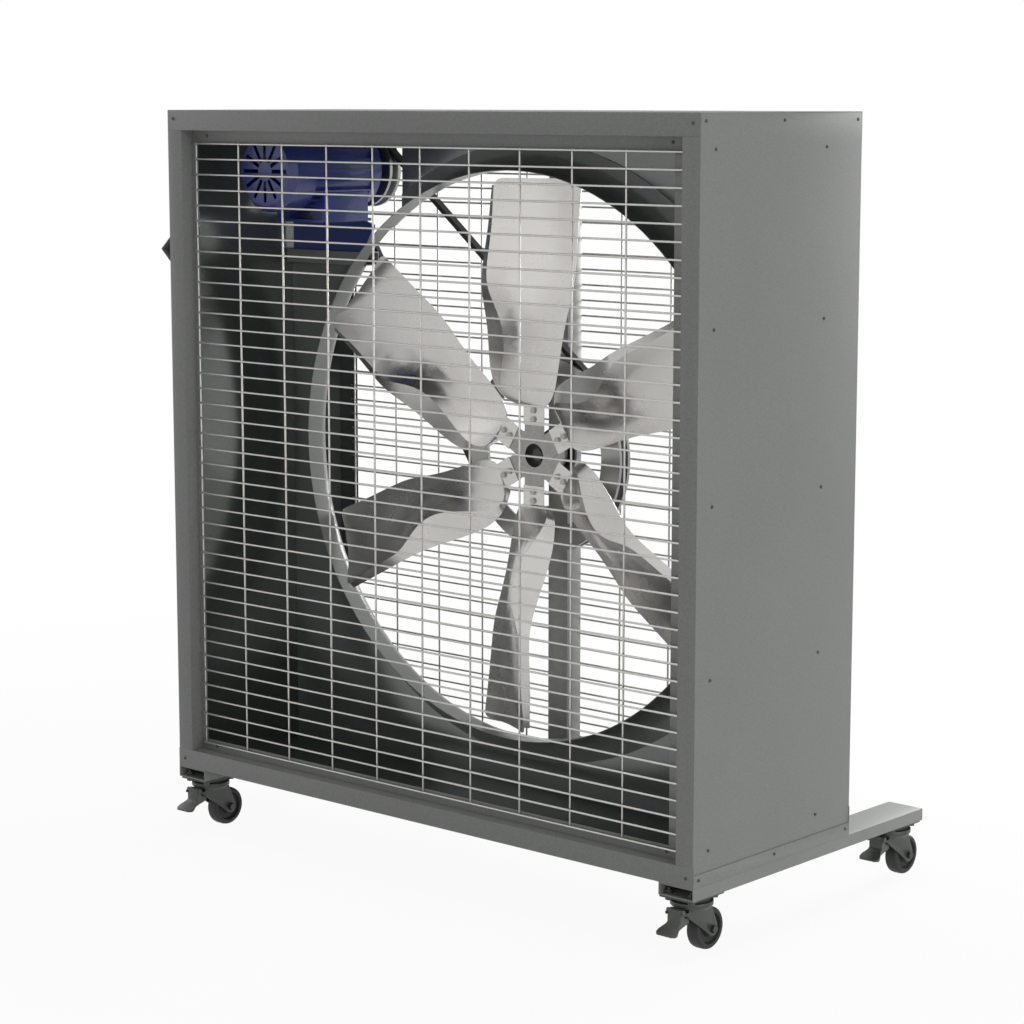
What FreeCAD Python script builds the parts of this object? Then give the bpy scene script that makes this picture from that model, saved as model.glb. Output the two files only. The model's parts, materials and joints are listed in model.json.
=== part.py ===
"""Portable belt-drive industrial fan on a castered base, built as separate pieces (mm).

Every piece is drawn in the frame of the housing: X = 0 on the middle plane, Y = 0 on the front
face with the depth running back along +Y, and Z = 0 under the bottom panel. One shared shift then
puts the origin on the floor under the middle of the whole fan.
"""
import FreeCAD
import Part
import os
import re

import Sketcher

Vector = FreeCAD.Vector
document = FreeCAD.newDocument("Fan")
sheet = document.addObject("Spreadsheet::Sheet", "Sizes")
nodes = []

SIZES = {
    # Housing
    "housing_width": 1380,
    "housing_depth": 490,
    "housing_height": 1380,
    "sheet_gauge": 1.5,
    "flange_side": 41.5,
    "flange_top": 41.1,
    "flange_bottom": 38.2,
    "recess_depth": 31,
    "lip_left": 16.5,
    "lip_right": 40.1,
    "lip_top": 28.4,
    "lip_bottom": 23,
    "rear_flange": 57,
    "lap_flange": 25,
    # Wire grilles
    "wire_thick": 4,
    "upright_pitch": 126.15,
    "crosswire_pitch": 31.43,
    "grille_drop": 5.2,
    "grille_shift": -3.5,
    "wire_edge": 12,
    "wire_overhang": 3,
    "wire_end_gap": 4,
    # Venturi panel and bell mouth
    "panel_depth": 141.5,
    "panel_flange": 57,
    "notch_wide": 333,
    "notch_drop": 325,
    "notch_corner": 12,
    "bell_margin": 117,
    "bell_front": 210,
    "bell_flare": 32,
    "bell_flange": 23,
    # Post, axle and hub
    "post_width": 51,
    "post_front": 59,
    "post_deep": 43,
    "post_gauge": 2.5,
    "axle_radius": 12.5,
    "axle_front": 124,
    "axle_flange_radius": 50,
    "axle_flange_thick": 6,
    "running_gap": 0.05,
    "bearing_radius": 26,
    "bearing_wide": 15,
    "barrel_radius": 37,
    "barrel_end_gap": 7,
    "hub_front": 134,
    "hub_gauge": 3,
    "hub_hole": 24,
    "arm_width": 50,
    "arm_bend": 150,
    "arm_foot": 166,
    "arm_end": 186,
    "blade_count": 6,
    # Driven pulley, belt and motor pulley
    "pulley_radius": 200,
    "pulley_front": 105,
    "pulley_wide": 33,
    "pulley_inner": 152,
    "pulley_web": 4,
    "rim_thick": 24,
    "belt_wide": 17.5,
    "belt_thick": 11,
    "belt_taper": 3,
    "belt_gap": 0.4,
    "belt_sink": 1,
    "motor_pulley_radius": 80,
    "motor_inset": 183,
    "motor_drop": 124,
    # Blades
    "blade_gauge": 2,
    "blade_start": 62,
    "tongue_width": 53,
    "tongue_end": 100,
    "root_radius": 112,
    "root_chord": 96,
    "root_pitch": 12,
    "root_skew": -6,
    "root_set": 8,
    "waist_radius": 190,
    "waist_chord": 115,
    "waist_pitch": 33,
    "waist_skew": 16,
    "waist_set": 28,
    "belly_radius": 345,
    "belly_chord": 172,
    "belly_pitch": 33,
    "belly_skew": 32,
    "belly_set": 47,
    "tip_gap": 15,
    "tip_chord": 182,
    "tip_pitch": 22,
    "tip_skew": 45,
    "tip_set": 39,
    "blade_camber": 12,
    "tip_corner": 14,
    "flap_root": 54,
    "flap_belly": 26,
    "flap_end": 12,
    "bolt_head": 6.5,
    "bolt_head_high": 4,
    "bolt_inner": 74,
    "bolt_outer": 92,
    # Motor, its base and beam
    "motor_radius": 75,
    "motor_fin": 9,
    "fin_thick": 4,
    "fin_count": 24,
    "cowl_front": 390,
    "cowl_rear": 320,
    "shield_front": 152,
    "shield_rear": 115,
    "shield_radius": 79,
    "shield_boss": 34,
    "shaft_radius": 12,
    "base_width": 140,
    "base_plate": 6,
    "foot_drop": 100,
    "base_front": 295,
    "base_reach": 95,
    "base_flare": 5,
    "base_tuck": 26,
    "base_elbow": 14,
    "lug_width": 44,
    "lug_high": 19,
    "beam_high": 28,
    "beam_deep": 40,
    "beam_gauge": 2,
    "beam_past": 58,
    "box_width": 64,
    "box_reach": 46,
    # Rails and cover strip
    "rail_width": 80,
    "rail_high": 23.5,
    "rail_length": 748,
    "rail_gauge": 2.5,
    "cover_low": 1068,
    "cover_high": 1122,
    "cover_reach": 28,
    "cover_length": 250,
    # Casters
    "caster_inset": 50,
    "caster_middle": 42,
    "caster_high": 114.5,
    "plate_long": 94,
    "plate_wide": 76,
    "plate_thick": 4.5,
    "race_radius": 34,
    "race_thick": 7,
    "swivel_gap": 0.3,
    "crown_radius": 40,
    "crown_thick": 16,
    "crown_taper": 7,
    "kingpin_radius": 6,
    "wheel_radius": 40,
    "wheel_wide": 28,
    "wheel_trail": 40,
    "fork_gap": 2,
    "fork_thick": 3,
    "fork_end": 13,
    "wheel_axle": 5,
    "hex_across": 13,
    "hex_thick": 6,
    "pedal_pivot": 4,
    "pedal_ahead": 47,
    "pedal_drop": 48,
    "pedal_wide": 44,
    "pedal_thick": 5,
    "pedal_reach": 34,
    "pedal_fall": 37,
    "caster_bolt": 4,
    "caster_bolt_long": 34,
    "caster_bolt_wide": 26,
    # Sheet screws
    "screw_radius": 3.3,
    "screw_high": 2,
    "screw_margin": 63.4,
    "screw_column": 43.5,
    "screw_edge": 14.5,
    "corner_screw": 18,
    "lip_screw": 86,
    "lip_screw_edge": 11,
}
for row, (name, value) in enumerate(SIZES.items(), 1):
    sheet.set("A%d" % row, str(value))
    sheet.setAlias("A%d" % row, name)
document.recompute()

# Places and lengths that follow from the sizes
FOLLOWS = {
    # The drive stands at depths measured forward from the rear of the housing
    "panel_at": "(housing_depth - panel_depth)",
    "bell_at": "(housing_depth - bell_front)",
    "post_at": "(housing_depth - post_front)",
    "axle_at": "(housing_depth - axle_front)",
    "hub_at": "(housing_depth - hub_front)",
    "pulley_at": "(housing_depth - pulley_front)",
    "cowl_at": "(housing_depth - cowl_front)",
    "cowl_end": "(housing_depth - cowl_rear)",
    "shield_at": "(housing_depth - shield_front)",
    "shield_end": "(housing_depth - shield_rear)",
    "base_at": "(housing_depth - base_front)",
    # Heights, sides and patterns
    "axis_height": "(housing_height / 2)",
    "bell_radius": "(min(housing_width; housing_height) / 2 - bell_margin)",
    "tip_radius": "(bell_radius - tip_gap)",
    "notch_side": "(housing_width / 2 - notch_wide)",
    "notch_floor": "(housing_height - notch_drop)",
    "motor_side": "(housing_width / 2 - motor_inset)",
    "motor_height": "(housing_height - motor_drop)",
    "base_top": "(motor_height - foot_drop)",
    "lug_top": "(base_top + lug_high)",
    "beam_top": "(notch_floor + beam_high)",
    "beam_end": "(motor_side - beam_past)",
    "screw_pitch": "(housing_height / 4 - screw_margin / 2)",
    "opening_wide": "(housing_width - 2 * flange_side)",
    "opening_tall": "(housing_height - flange_top - flange_bottom)",
    "grille_height": "((housing_height - flange_top + flange_bottom) / 2 - grille_drop)",
    "upright_count": "(floor((opening_wide - 2 * wire_edge) / upright_pitch) + 1)",
    "crosswire_count": "(floor((opening_tall - 2 * wire_edge) / crosswire_pitch) + 1)",
    "grille_wide": "((upright_count - 1) * upright_pitch + 2 * wire_overhang)",
    "grille_tall": "((crosswire_count - 1) * crosswire_pitch + 2 * wire_overhang)",
}
WORD = re.compile(r"[a-z_]+[a-z0-9_]*")


def bound(text):
    """Return an expression with each size name pointing at its cell."""
    def cell(word):
        name = word.group()
        if name in FOLLOWS:
            return bound(FOLLOWS[name])
        return "Sizes." + name if name in SIZES else name
    return WORD.sub(cell, text)


def number(text):
    """Return the present value of an expression."""
    return float(sheet.evalExpression(bound(text)))


# The shared shift from the housing's frame to the fan's own frame
SHIFT = ("cover_reach / 2", "-rail_length / 2", "rail_high + caster_high")


def place(piece, x="0", y="0", z="0"):
    """Bind a piece's position: a point in the housing's frame, plus the shared shift."""
    for axis, own, shift in zip("xyz", (x, y, z), SHIFT):
        piece.setExpression("Placement.Base." + axis, bound("%s + %s" % (own, shift)))


def new_body(label, x="0", y="0", z="0"):
    """Return an empty body placed at a point of the housing's frame."""
    body = document.addObject("PartDesign::Body", label)
    body.Label = label
    place(body, x, y, z)
    nodes.append(body)
    return body


def datum(body, role):
    """Return one of a body's own origin planes or axes."""
    return [item for item in body.Origin.OriginFeatures if item.Role == role][0]


def new_sketch(body, plane, offset):
    """Return an empty sketch on an origin plane, moved along its normal by an expression."""
    sketch = body.newObject("Sketcher::SketchObject", "Sketch")
    sketch.AttachmentSupport = [(datum(body, plane), "")]
    sketch.MapMode = "FlatFace"
    sketch.setExpression("AttachmentOffset.Base.z", bound(offset))
    return sketch


def pin_point(sketch, edge, end, x, y):
    """Bind one point of a sketch to two expressions measured from the sketch's origin."""
    for kind, text in (("DistanceX", x), ("DistanceY", y)):
        row = sketch.addConstraint(Sketcher.Constraint(kind, -1, 1, edge, end, number(text)))
        sketch.setExpression("Constraints[%d]" % row, bound(text))


def add_outline(sketch, corners):
    """Add one closed outline whose corners are pairs of expressions."""
    points = [Vector(number(x), number(y), 0) for x, y in corners]
    first = sketch.GeometryCount
    count = len(points)
    for index in range(count):
        sketch.addGeometry(Part.LineSegment(points[index], points[(index + 1) % count]), False)
    for index in range(count):
        following = first + (index + 1) % count
        sketch.addConstraint(Sketcher.Constraint("Coincident", first + index, 2, following, 1))
    for index, (x, y) in enumerate(corners):
        pin_point(sketch, first + index, 1, x, y)


def add_circle(sketch, x, y, radius):
    """Add one circle whose centre and radius are expressions."""
    middle = Vector(number(x), number(y), 0)
    edge = sketch.addGeometry(Part.Circle(middle, Vector(0, 0, 1), number(radius)), False)
    pin_point(sketch, edge, 3, x, y)
    row = sketch.addConstraint(Sketcher.Constraint("Radius", edge, number(radius)))
    sketch.setExpression("Constraints[%d]" % row, bound(radius))


def outline(body, plane, *loops, offset="0"):
    """Return a sketch of closed outlines on one of a body's origin planes."""
    sketch = new_sketch(body, plane, offset)
    for corners in loops:
        add_outline(sketch, corners)
    return sketch


def discs(body, plane, *circles, offset="0"):
    """Return a sketch of circles on one of a body's origin planes."""
    sketch = new_sketch(body, plane, offset)
    for circle in circles:
        add_circle(sketch, *circle)
    return sketch


def block(x1, x2, y1, y2):
    """Return the four corners of an upright rectangle."""
    return [(x1, y1), (x2, y1), (x2, y2), (x1, y2)]


def pad(body, sketch, length, both=False, back=False):
    """Pad a sketch by an expression, to one side, the other side, or both."""
    feature = body.newObject("PartDesign::Pad", "Pad")
    feature.Profile = sketch
    feature.setExpression("Length", bound(length))
    feature.Midplane = both
    feature.Reversed = back
    document.recompute()
    return feature


def pocket(body, sketch, length, both=False, back=False):
    """Cut a sketch away by an expression."""
    before = body.Shape.Volume
    feature = body.newObject("PartDesign::Pocket", "Pocket")
    feature.Profile = sketch
    feature.setExpression("Length", bound(length))
    feature.Midplane = both
    feature.Reversed = back
    document.recompute()
    if body.Shape.Volume >= before:
        raise RuntimeError("nothing was cut from " + body.Label)
    return feature


def revolve(body, sketch, role):
    """Turn a sketch once round one of the body's own axes."""
    feature = body.newObject("PartDesign::Revolution", "Revolution")
    feature.Profile = sketch
    feature.ReferenceAxis = (datum(body, role), [""])
    feature.Angle = 360
    document.recompute()
    return feature


def around(body, feature, role, count):
    """Repeat a feature evenly round one of the body's own axes."""
    pattern = body.newObject("PartDesign::PolarPattern", "PolarPattern")
    pattern.Originals = [feature]
    pattern.Axis = (datum(body, role), [""])
    pattern.Angle = 360
    pattern.setExpression("Occurrences", bound(count))
    body.Tip = pattern
    document.recompute()
    return pattern


def fillet(body, wanted, radius):
    """Round the edges of a body's tip that pass a test, by an expression."""
    base = body.Tip
    picked = ["Edge%d" % (row + 1) for row, edge in enumerate(base.Shape.Edges) if wanted(edge)]
    if not picked:
        raise RuntimeError("no edge to round on " + body.Label)
    feature = body.newObject("PartDesign::Fillet", "Fillet")
    feature.Base = (base, picked)
    feature.setExpression("Radius", bound(radius))
    document.recompute()


def member(kind, **values):
    """Return a Part primitive with its sizes bound to expressions."""
    piece = document.addObject("Part::" + kind, kind)
    for name, text in values.items():
        piece.setExpression(name, bound(text))
    return piece


def group(label, members):
    """Gather separate solids into one named node."""
    gathered = document.addObject("Part::Compound", label)
    gathered.Links = members
    gathered.Label = label
    nodes.append(gathered)


def turn(piece, axis, angle):
    """Turn a piece about its own base point."""
    piece.Placement = FreeCAD.Placement(piece.Placement.Base, FreeCAD.Rotation(axis, angle))


X_AXIS = Vector(1, 0, 0)
Y_AXIS = Vector(0, 1, 0)

# Lines of the housing that several pieces share
HALF = "housing_width / 2"
WALL_OUT = "(housing_width / 2 - sheet_gauge)"
WALL_IN = "(housing_width / 2 - 2 * sheet_gauge)"
RECESS = "(housing_width / 2 - flange_side)"
LIP_BACK = "(recess_depth + sheet_gauge)"
REAR_IN = "(housing_depth - sheet_gauge)"
ROOF = "(housing_height - sheet_gauge)"
TOP_EDGE = "(housing_height - flange_top)"
LIP_LOW = "(flange_bottom + lip_bottom)"
LIP_HIGH = "(housing_height - flange_top - lip_top)"


def bottom_panel():
    """The floor sheet: front flange, recess wall and lip, rear flange, and outside side laps."""
    body = new_body("bottom_panel")
    pan = [("0", "0"), ("housing_depth", "0"), ("housing_depth", "rear_flange"), (REAR_IN, "rear_flange"),
           (REAR_IN, "sheet_gauge"), ("sheet_gauge", "sheet_gauge"), ("sheet_gauge", "flange_bottom"),
           ("0", "flange_bottom")]
    pad(body, outline(body, "YZ_Plane", pan), "housing_width", both=True)
    under = "flange_bottom - sheet_gauge"
    lip = [("0", under), (LIP_BACK, under), (LIP_BACK, LIP_LOW), ("recess_depth", LIP_LOW),
           ("recess_depth", "flange_bottom"), ("0", "flange_bottom")]
    pad(body, outline(body, "YZ_Plane", lip), "housing_width - 2 * flange_side", both=True)
    right = block(WALL_OUT, HALF, "0", REAR_IN)
    left = block("-" + HALF, "-" + WALL_OUT, "0", REAR_IN)
    pad(body, outline(body, "XY_Plane", right, left), "lap_flange")


def top_panel():
    """The roof sheet: front flange, recess wall and lip, rear flange, and inside side laps."""
    body = new_body("top_panel")
    rear_low = "housing_height - rear_flange"
    pan = [("0", TOP_EDGE), ("sheet_gauge", TOP_EDGE), ("sheet_gauge", ROOF), (REAR_IN, ROOF),
           (REAR_IN, rear_low), ("housing_depth", rear_low), ("housing_depth", "housing_height"),
           ("0", "housing_height")]
    pad(body, outline(body, "YZ_Plane", pan), "housing_width - 2 * sheet_gauge", both=True)
    inner = TOP_EDGE + " + sheet_gauge"
    lip = [("0", TOP_EDGE), ("recess_depth", TOP_EDGE), ("recess_depth", LIP_HIGH), (LIP_BACK, LIP_HIGH),
           (LIP_BACK, inner), ("0", inner)]
    pad(body, outline(body, "YZ_Plane", lip), "housing_width - 2 * flange_side", both=True)
    inside = WALL_IN + " - sheet_gauge"
    right = block(inside, WALL_IN, "sheet_gauge", REAR_IN)
    left = block("-" + WALL_IN, "-(" + inside + ")", "sheet_gauge", REAR_IN)
    laps = outline(body, "XY_Plane", right, left, offset="housing_height - lap_flange")
    pad(body, laps, "lap_flange")


def side_panel(label, sign, lip):
    """A side sheet: wall, front flange with recess wall and lip, and rear flange."""
    body = new_body(label)

    def at(text):
        return sign + "(" + text + ")"

    wall = block(at(WALL_IN), at(WALL_OUT), "sheet_gauge", REAR_IN)
    pad(body, outline(body, "XY_Plane", wall, offset="sheet_gauge"), "housing_height - 2 * sheet_gauge")
    inner = RECESS + " + sheet_gauge"
    flange = [(at(WALL_OUT), "0"), (at(WALL_OUT), "sheet_gauge"), (at(inner), "sheet_gauge"),
              (at(inner), LIP_BACK), (at(RECESS), LIP_BACK), (at(RECESS), "0")]
    pad(body, outline(body, "XY_Plane", flange, offset="flange_bottom"), TOP_EDGE + " - flange_bottom")
    edge = block(at(RECESS + " - " + lip), at(RECESS), "recess_depth", LIP_BACK)
    pad(body, outline(body, "XY_Plane", edge, offset=LIP_LOW), LIP_HIGH + " - " + LIP_LOW)
    rear = block(at(HALF + " - rear_flange"), at(WALL_OUT), REAR_IN, "housing_depth")
    pad(body, outline(body, "XY_Plane", rear, offset="rear_flange"), "housing_height - 2 * rear_flange")


def grille(label, uprights_at, step, wide, tall):
    """Crossed wires laid on one another, as separate welded wires."""
    round_off = "wire_thick / 2 / cos(30)"
    wires = []
    for row in range(int(number("upright_count"))):
        wire = member("Prism", Circumradius=round_off, Height=tall)
        wire.Polygon = 6
        across = "grille_shift + upright_pitch * (%d - (upright_count - 1) / 2)" % row
        place(wire, across, uprights_at, "grille_height - (" + tall + ") / 2")
        wires.append(wire)
    for row in range(int(number("crosswire_count"))):
        wire = member("Prism", Circumradius=round_off, Height=wide)
        wire.Polygon = 6
        turn(wire, Y_AXIS, 90)
        up = "grille_height + crosswire_pitch * (%d - (crosswire_count - 1) / 2)" % row
        place(wire, "grille_shift - (" + wide + ") / 2", uprights_at + step, up)
        wires.append(wire)
    group(label, wires)


def venturi_panel():
    """The bulkhead with the round air opening, side flanges, and the motor notch."""
    body = new_body("venturi_panel")
    edge = "(" + WALL_IN + " - sheet_gauge)"
    face = [("-" + edge, "sheet_gauge"), (edge, "sheet_gauge"), (edge, ROOF), ("-notch_side", ROOF),
            ("-notch_side", "notch_floor"), ("-" + edge, "notch_floor")]
    pad(body, outline(body, "XZ_Plane", face, offset="-panel_at"), "sheet_gauge", back=True)
    fillet(body, lambda e: is_upright_line(e, -number("notch_side"), number("notch_floor")), "notch_corner")
    back = "panel_at + panel_flange"
    lap = "housing_height - lap_flange"
    right = block(edge, WALL_IN, "panel_at", back)
    pad(body, outline(body, "XY_Plane", right, offset="sheet_gauge"), lap + " - sheet_gauge")
    left = block("-" + WALL_IN, "-" + edge, "panel_at", back)
    pad(body, outline(body, "XY_Plane", left, offset="sheet_gauge"), "notch_floor - sheet_gauge")
    hole = discs(body, "XZ_Plane", ("0", "axis_height", "bell_radius + bell_flare"), offset="-panel_at")
    pocket(body, hole, "4 * sheet_gauge", both=True)


def is_upright_line(edge, x, z):
    """Tell whether an edge runs along Y through a point of the front view."""
    box = edge.BoundBox
    near = abs(box.XMin - x) + abs(box.XMax - x) + abs(box.ZMin - z) + abs(box.ZMax - z)
    return near < 0.01


def is_ring(edge, radius, depth):
    """Tell whether an edge is a circle of one radius at one depth along Y."""
    curve = edge.Curve
    if not isinstance(curve, Part.Circle):
        return False
    return abs(curve.Radius - radius) < 0.01 and abs(curve.Center.y - depth) < 0.01


def bell_mouth():
    """The spun inlet ring: straight throat, rounded flare and a flange on the bulkhead."""
    body = new_body("bell_mouth", z="axis_height")
    wall = "bell_radius + sheet_gauge"
    rim = "bell_radius + bell_flare + bell_flange"
    seat = "panel_at - sheet_gauge"
    section = [("bell_radius", "bell_at"), (wall, "bell_at"), (wall, seat), (rim, seat),
               (rim, "panel_at"), ("bell_radius", "panel_at")]
    revolve(body, outline(body, "XY_Plane", section), "Y_Axis")
    inside = number("bell_radius")
    fillet(body, lambda e: is_ring(e, inside, number("panel_at")), "bell_flare")
    fillet(body, lambda e: is_ring(e, number(wall), number(seat)), "bell_flare - sheet_gauge")
    low = "notch_floor - axis_height"
    cut = outline(body, "XZ_Plane", block("-housing_width / 2", "-notch_side", low, "housing_height / 2"),
                  offset="-(panel_at - bell_flare)")
    pocket(body, cut, "2 * bell_flare")


def support_post():
    """The upright channel behind the propeller, open to the rear."""
    body = new_body("support_post")
    out = "post_width / 2"
    inner = "(post_width / 2 - post_gauge)"
    rear = "post_at + post_deep"
    web = "post_at + post_gauge"
    section = [("-" + out, "post_at"), (out, "post_at"), (out, rear), (inner, rear), (inner, web),
               ("-" + inner, web), ("-" + inner, rear), ("-" + out, rear)]
    pad(body, outline(body, "XY_Plane", section, offset="sheet_gauge"), "housing_height - 2 * sheet_gauge")


def fan_axle():
    """The fixed axle and its flange on the front of the post."""
    body = new_body("fan_axle", z="axis_height")
    flange = "post_at - axle_flange_thick"
    section = [("0", "axle_at"), ("axle_radius", "axle_at"), ("axle_radius", flange),
               ("axle_flange_radius", flange), ("axle_flange_radius", "post_at"), ("0", "post_at")]
    revolve(body, outline(body, "XY_Plane", section), "Y_Axis")


HUB_BACK = "(hub_at + hub_gauge)"
PULLEY_BACK = "(pulley_at + pulley_wide)"
BARREL_BACK = "(post_at - axle_flange_thick - barrel_end_gap)"


def hub_spider():
    """The pressed hub: six flat arms whose ends bend back to the driven pulley."""
    body = new_body("hub_spider", z="axis_height")
    seat = "pulley_at - hub_gauge"
    bend_in = "arm_bend - hub_gauge / 2"
    foot_in = "arm_foot - hub_gauge / 2"
    section = [("hub_at", "0"), ("hub_at", "arm_bend"), (seat, "arm_foot"), (seat, "arm_end"),
               ("pulley_at", "arm_end"), ("pulley_at", foot_in), (HUB_BACK, bend_in), (HUB_BACK, "0")]
    arm = pad(body, outline(body, "YZ_Plane", section), "arm_width", both=True)
    around(body, arm, "Y_Axis", "blade_count")
    hole = discs(body, "XZ_Plane", ("0", "0", "hub_hole"), offset="-hub_at")
    pocket(body, hole, "4 * hub_gauge", both=True)


def hub_barrel():
    """The turned hub body behind the spider, bored for two bearings."""
    body = new_body("hub_barrel", z="axis_height")
    shoulder = "bearing_radius - 4"
    front = HUB_BACK + " + 2 * bearing_wide"
    rear = BARREL_BACK + " - bearing_wide"
    section = [("hub_hole", HUB_BACK), ("barrel_radius", HUB_BACK), ("barrel_radius", BARREL_BACK),
               ("bearing_radius", BARREL_BACK), ("bearing_radius", rear), (shoulder, rear), (shoulder, front),
               ("bearing_radius", front), ("bearing_radius", front + " - bearing_wide"),
               ("hub_hole", front + " - bearing_wide")]
    revolve(body, outline(body, "XY_Plane", section), "Y_Axis")


def hub_bearings():
    """Two ball bearings as plain rings, a press fit in the barrel and a running fit on the axle."""
    rings = []
    for start in (HUB_BACK + " + bearing_wide", BARREL_BACK + " - bearing_wide"):
        outer = member("Cylinder", Radius="bearing_radius", Height="bearing_wide")
        bore = member("Cylinder", Radius="axle_radius + running_gap", Height="bearing_wide")
        ring = document.addObject("Part::Cut", "Ring")
        ring.Base = outer
        ring.Tool = bore
        turn(ring, X_AXIS, -90)
        place(ring, "0", start, "axis_height")
        rings.append(ring)
    group("hub_bearings", rings)


BELT_MIDDLE = "(pulley_at + pulley_wide / 2)"
MOUTH = "(belt_wide / 2 + belt_gap)"
GROOVE_FLOOR = "(belt_wide / 2 - belt_taper + belt_gap)"


def groove(radius):
    """Return the corners of a V-groove cut into a rim of one radius, from front to rear."""
    depth = radius + " - belt_sink - belt_thick - belt_gap"
    return [(radius, BELT_MIDDLE + " - " + MOUTH), (depth, BELT_MIDDLE + " - " + GROOVE_FLOOR),
            (depth, BELT_MIDDLE + " + " + GROOVE_FLOOR), (radius, BELT_MIDDLE + " + " + MOUTH)]


def driven_pulley():
    """The large grooved ring with a thin front web for the feet of the spider."""
    body = new_body("driven_pulley", z="axis_height")
    web = "pulley_at + pulley_web"
    inner = "pulley_radius - rim_thick"
    section = [("pulley_inner", "pulley_at"), ("pulley_radius", "pulley_at")] + groove("pulley_radius")
    section += [("pulley_radius", PULLEY_BACK), (inner, PULLEY_BACK), (inner, web), ("pulley_inner", web)]
    revolve(body, outline(body, "XY_Plane", section), "Y_Axis")


def motor_pulley():
    """The small grooved pulley on the motor shaft."""
    body = new_body("motor_pulley", "-motor_side", "0", "motor_height")
    section = [("shaft_radius", "pulley_at"), ("motor_pulley_radius", "pulley_at")]
    section += groove("motor_pulley_radius")
    section += [("motor_pulley_radius", PULLEY_BACK), ("shaft_radius", PULLEY_BACK)]
    revolve(body, outline(body, "XY_Plane", section), "Y_Axis")


def v_belt():
    """The belt: a trapezium swept round two arcs and two straight strands."""
    big = number("pulley_radius - belt_sink")
    small = number("motor_pulley_radius - belt_sink")
    middle = number(BELT_MIDDLE)
    wide = number("belt_wide / 2")
    narrow = number("belt_wide / 2 - belt_taper")
    thick = number("belt_thick")
    fan = Vector(0, middle, number("axis_height"))
    motor = Vector(-number("motor_side"), middle, number("motor_height"))
    line = motor - fan
    along = Vector(line).normalize()
    across = Vector(along.z, 0, -along.x)
    lean = (big - small) / line.Length
    rise = (1 - lean * lean) ** 0.5
    upper = along * lean + across * rise
    lower = along * lean - across * rise
    corners = [fan + upper * big, fan - along * big, fan + lower * big]
    corners += [motor + lower * small, motor + along * small, motor + upper * small]
    edges = [Part.Arc(*corners[:3]).toShape(), Part.makeLine(corners[2], corners[3])]
    edges += [Part.Arc(*corners[3:]).toShape(), Part.makeLine(corners[5], corners[0])]
    path = Part.Wire(edges)
    start = corners[0]
    section = [start + Y_AXIS * wide, start - Y_AXIS * wide]
    section += [start - Y_AXIS * narrow - upper * thick, start + Y_AXIS * narrow - upper * thick]
    sweep = Part.BRepOffsetAPI.MakePipeShell(path)
    sweep.setFrenetMode(False)
    sweep.setBiNormalMode(Y_AXIS)
    sweep.add(Part.makePolygon(section + section[:1]))
    sweep.build()
    sweep.makeSolid()
    belt = document.addObject("Part::Feature", "v_belt")
    belt.Shape = sweep.shape()
    belt.Label = "v_belt"
    place(belt)
    nodes.append(belt)


def station(name, camber, fold):
    """Return radius, chord, pitch, sideways skew, forward set, camber and fold at a named station."""
    parts = ("_radius", "_chord", "_pitch", "_skew", "_set")
    return tuple(name + part for part in parts) + (camber, fold)


def between(first, second):
    """Return the station half way between two stations."""
    return tuple("((" + a + ") + (" + b + ")) / 2" for a, b in zip(first, second))


# Stations of a blade, from the end of its tongue to the tip
TONGUE = ("tongue_end", "tongue_width", "0", "0", "0", "0", "flap_end")
ROOT = station("root", "0", "flap_end")
WAIST = station("waist", "blade_camber / 2", "flap_root")
BELLY = station("belly", "blade_camber", "flap_belly")
TIP = station("tip", "blade_camber", "flap_end")
OUTER = between(BELLY, TIP)
STATIONS = (TONGUE, ROOT, WAIST, BELLY, OUTER, between(OUTER, TIP), TIP)


def blade_station(body, radius, pitch, skew, forward):
    """Return a sketch across the blade at one radius, turned to the pitch there."""
    sketch = new_sketch(body, "XY_Plane", radius)
    sketch.AttachmentOffset = FreeCAD.Placement(Vector(), FreeCAD.Rotation(Vector(0, 0, 1), number(pitch)))
    sketch.setExpression("AttachmentOffset.Base.x", bound(skew))
    sketch.setExpression("AttachmentOffset.Base.y", bound("hub_at - blade_gauge / 2 - (" + forward + ")"))
    sketch.setExpression("AttachmentOffset.Base.z", bound(radius))
    sketch.setExpression("AttachmentOffset.Rotation.Angle", bound(pitch))
    return sketch


def loft(body, sketches):
    """Loft through a row of sketches."""
    feature = body.newObject("PartDesign::AdditiveLoft", "Loft")
    feature.Profile = sketches[0]
    feature.Sections = sketches[1:]
    feature.Ruled = False
    document.recompute()
    return feature


def tip_corner(side, inward):
    """Return the waste outside one rounded corner of a blade's tip, in the front view."""
    edge = "tip_skew " + side + " tip_chord / 2 * cos(tip_pitch)"
    past = edge + side + "tip_corner"
    return [(past, "tip_radius - tip_corner"), (edge, "tip_radius - tip_corner"),
            (edge + inward + "0.08 * tip_corner", "tip_radius - 0.62 * tip_corner"),
            (edge + inward + "0.29 * tip_corner", "tip_radius - 0.29 * tip_corner"),
            (edge + inward + "0.62 * tip_corner", "tip_radius - 0.08 * tip_corner"),
            (edge + inward + "tip_corner", "tip_radius"),
            (edge + inward + "tip_corner", "tip_radius + tip_corner"), (past, "tip_radius + tip_corner")]


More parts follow.
